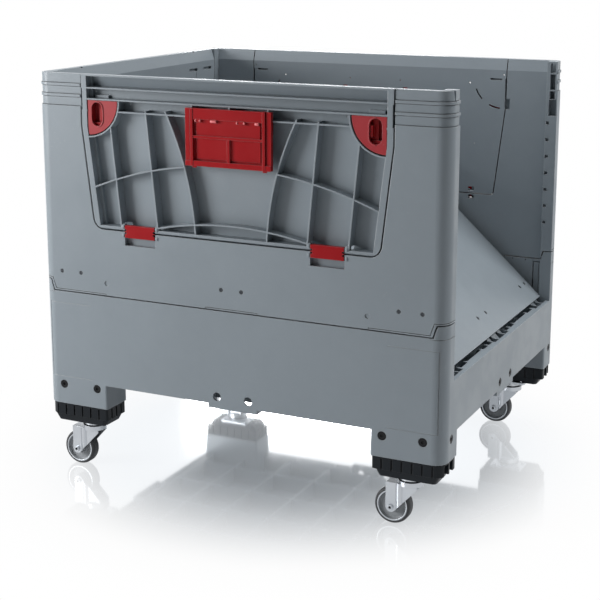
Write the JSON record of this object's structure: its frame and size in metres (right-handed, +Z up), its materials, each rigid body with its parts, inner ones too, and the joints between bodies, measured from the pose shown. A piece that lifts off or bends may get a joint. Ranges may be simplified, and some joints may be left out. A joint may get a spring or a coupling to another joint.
{
  "type": "folding bulk container on castors",
  "caption": "Folding pallet-size bulk container with hinged end walls, a drop-down loading flap in each long side, sliding catches, label holders and swivel castors.",
  "frame": {"origin": "on the floor under the middle of the container", "axes": "+X along the long sides towards the folded end wall, -Y towards the front with its flap, +Z up"},
  "size_m": [1.2, 1.028, 1.14],
  "materials": {
    "grey_plastic": "satin moulded polyethylene, slightly bluish mid grey",
    "red_plastic": "semi-gloss moulded plastic",
    "black_plastic": "matt moulded plastic",
    "black_screw": "blackened steel",
    "small_screw": "dark coated steel",
    "zinc": "bright zinc plated",
    "wheel_core": "moulded nylon",
    "tyre": "solid grey rubber"
  },
  "bodies": {
    "container": {"base_tray": "grey_plastic", "foot_cap_front_left": "black_plastic", "foot_cap_front_right": "black_plastic", "foot_cap_rear_left": "black_plastic", "foot_cap_rear_right": "black_plastic", "foot_screws": "black_screw", "castor_plate_front_left": "zinc", "castor_plate_front_right": "zinc", "castor_plate_rear_left": "zinc", "castor_plate_rear_right": "zinc", "castor_bolts": "zinc", "front_wall": "grey_plastic", "rear_wall": "grey_plastic", "long_wall_hinge_rods": "zinc", "short_wall_hinge_rods": "zinc", "long_wall_screws": "small_screw", "flap_sill_pins": "zinc"},
    "left_wall": {"left_wall": "grey_plastic", "left_wall_screws": "small_screw"},
    "right_wall": {"right_wall": "grey_plastic", "right_wall_screws": "small_screw"},
    "front_clips": {"front_hinge_clip_left": "red_plastic", "front_hinge_clip_right": "red_plastic"},
    "front_flap": {"front_flap": "grey_plastic", "front_flap_pins": "zinc", "front_catch_cover_left": "red_plastic", "front_catch_cover_right": "red_plastic", "front_label_holder": "red_plastic"},
    "front_catch_bolt_left": {"front_catch_bolt_left": "red_plastic"},
    "front_catch_bolt_right": {"front_catch_bolt_right": "red_plastic"},
    "rear_clips": {"rear_hinge_clip_left": "red_plastic", "rear_hinge_clip_right": "red_plastic"},
    "rear_flap": {"rear_flap": "grey_plastic", "rear_flap_pins": "zinc", "rear_catch_cover_left": "red_plastic", "rear_catch_cover_right": "red_plastic", "rear_label_holder": "red_plastic"},
    "rear_catch_bolt_left": {"rear_catch_bolt_left": "red_plastic"},
    "rear_catch_bolt_right": {"rear_catch_bolt_right": "red_plastic"},
    "left_wall_lock_front": {"left_wall_lock_front": "red_plastic"},
    "left_wall_lock_rear": {"left_wall_lock_rear": "red_plastic"},
    "right_wall_lock_front": {"right_wall_lock_front": "red_plastic"},
    "right_wall_lock_rear": {"right_wall_lock_rear": "red_plastic"},
    "castor_front_left": {"castor_fork_front_left": "zinc", "castor_axle_front_left": "zinc"},
    "wheel_front_left": {"wheel_core_front_left": "wheel_core", "wheel_tyre_front_left": "tyre"},
    "castor_front_right": {"castor_fork_front_right": "zinc", "castor_axle_front_right": "zinc"},
    "wheel_front_right": {"wheel_core_front_right": "wheel_core", "wheel_tyre_front_right": "tyre"},
    "castor_rear_left": {"castor_fork_rear_left": "zinc", "castor_axle_rear_left": "zinc"},
    "wheel_rear_left": {"wheel_core_rear_left": "wheel_core", "wheel_tyre_rear_left": "tyre"},
    "castor_rear_right": {"castor_fork_rear_right": "zinc", "castor_axle_rear_right": "zinc"},
    "wheel_rear_right": {"wheel_core_rear_right": "wheel_core", "wheel_tyre_rear_right": "tyre"}
  },
  "joints": [
    {"name": "left_wall_fold", "type": "hinge", "parent": "container", "child": "left_wall", "pos_m": [-0.573, 0, 0.386], "axis": [0, 1, 0], "range_deg": [0, 84]},
    {"name": "right_wall_fold", "type": "hinge", "parent": "container", "child": "right_wall", "pos_m": [0.573, 0, 0.386], "axis": [0, -1, 0], "range_deg": [-47.5, 42.5]},
    {"name": "front_clip_swing", "type": "hinge", "parent": "container", "child": "front_clips", "pos_m": [0, -0.494, 0.708], "axis": [1, 0, 0], "range_deg": [0, 88]},
    {"name": "front_flap_swing", "type": "hinge", "parent": "front_clips", "child": "front_flap", "pos_m": [0, -0.494, 0.732], "axis": [1, 0, 0], "range_deg": [0, 88]},
    {"name": "front_catch_bolt_left_slide", "type": "slide", "parent": "front_flap", "child": "front_catch_bolt_left", "axis": [-1, 0, 0], "range_m": [0, 0.016]},
    {"name": "front_catch_bolt_right_slide", "type": "slide", "parent": "front_flap", "child": "front_catch_bolt_right", "axis": [1, 0, 0], "range_m": [0, 0.016]},
    {"name": "rear_clip_swing", "type": "hinge", "parent": "container", "child": "rear_clips", "pos_m": [0, 0.494, 0.708], "axis": [-1, 0, 0], "range_deg": [0, 88]},
    {"name": "rear_flap_swing", "type": "hinge", "parent": "rear_clips", "child": "rear_flap", "pos_m": [0, 0.494, 0.732], "axis": [-1, 0, 0], "range_deg": [0, 88]},
    {"name": "rear_catch_bolt_left_slide", "type": "slide", "parent": "rear_flap", "child": "rear_catch_bolt_left", "axis": [-1, 0, 0], "range_m": [0, 0.016]},
    {"name": "rear_catch_bolt_right_slide", "type": "slide", "parent": "rear_flap", "child": "rear_catch_bolt_right", "axis": [1, 0, 0], "range_m": [0, 0.016]},
    {"name": "left_wall_lock_front_slide", "type": "slide", "parent": "left_wall", "child": "left_wall_lock_front", "axis": [0, -1, 0], "range_m": [0, 0.014]},
    {"name": "left_wall_lock_rear_slide", "type": "slide", "parent": "left_wall", "child": "left_wall_lock_rear", "axis": [0, 1, 0], "range_m": [0, 0.014]},
    {"name": "right_wall_lock_front_slide", "type": "slide", "parent": "right_wall", "child": "right_wall_lock_front", "axis": [0, -1, 0], "range_m": [0, 0.014]},
    {"name": "right_wall_lock_rear_slide", "type": "slide", "parent": "right_wall", "child": "right_wall_lock_rear", "axis": [0, 1, 0], "range_m": [0, 0.014]},
    {"name": "castor_front_left_swivel", "type": "hinge", "parent": "container", "child": "castor_front_left", "pos_m": [-0.489, -0.433, 0.118], "axis": [0, 0, 1], "continuous": true},
    {"name": "wheel_front_left_roll", "type": "hinge", "parent": "castor_front_left", "child": "wheel_front_left", "pos_m": [-0.536, -0.433, 0.05], "axis": [0, 1, 0], "continuous": true},
    {"name": "castor_front_right_swivel", "type": "hinge", "parent": "container", "child": "castor_front_right", "pos_m": [0.489, -0.433, 0.118], "axis": [0, 0, 1], "continuous": true},
    {"name": "wheel_front_right_roll", "type": "hinge", "parent": "castor_front_right", "child": "wheel_front_right", "pos_m": [0.442, -0.433, 0.05], "axis": [0, 1, 0], "continuous": true},
    {"name": "castor_rear_left_swivel", "type": "hinge", "parent": "container", "child": "castor_rear_left", "pos_m": [-0.489, 0.433, 0.118], "axis": [0, 0, 1], "continuous": true},
    {"name": "wheel_rear_left_roll", "type": "hinge", "parent": "castor_rear_left", "child": "wheel_rear_left", "pos_m": [-0.536, 0.433, 0.05], "axis": [0, 1, 0], "continuous": true},
    {"name": "castor_rear_right_swivel", "type": "hinge", "parent": "container", "child": "castor_rear_right", "pos_m": [0.489, 0.433, 0.118], "axis": [0, 0, 1], "continuous": true},
    {"name": "wheel_rear_right_roll", "type": "hinge", "parent": "castor_rear_right", "child": "wheel_rear_right", "pos_m": [0.442, 0.433, 0.05], "axis": [0, 1, 0], "continuous": true}
  ],
  "couplings": [
    {"joint": "front_clip_swing", "follows": "front_flap_swing", "ratio": 1},
    {"joint": "rear_clip_swing", "follows": "rear_flap_swing", "ratio": 1}
  ]
}
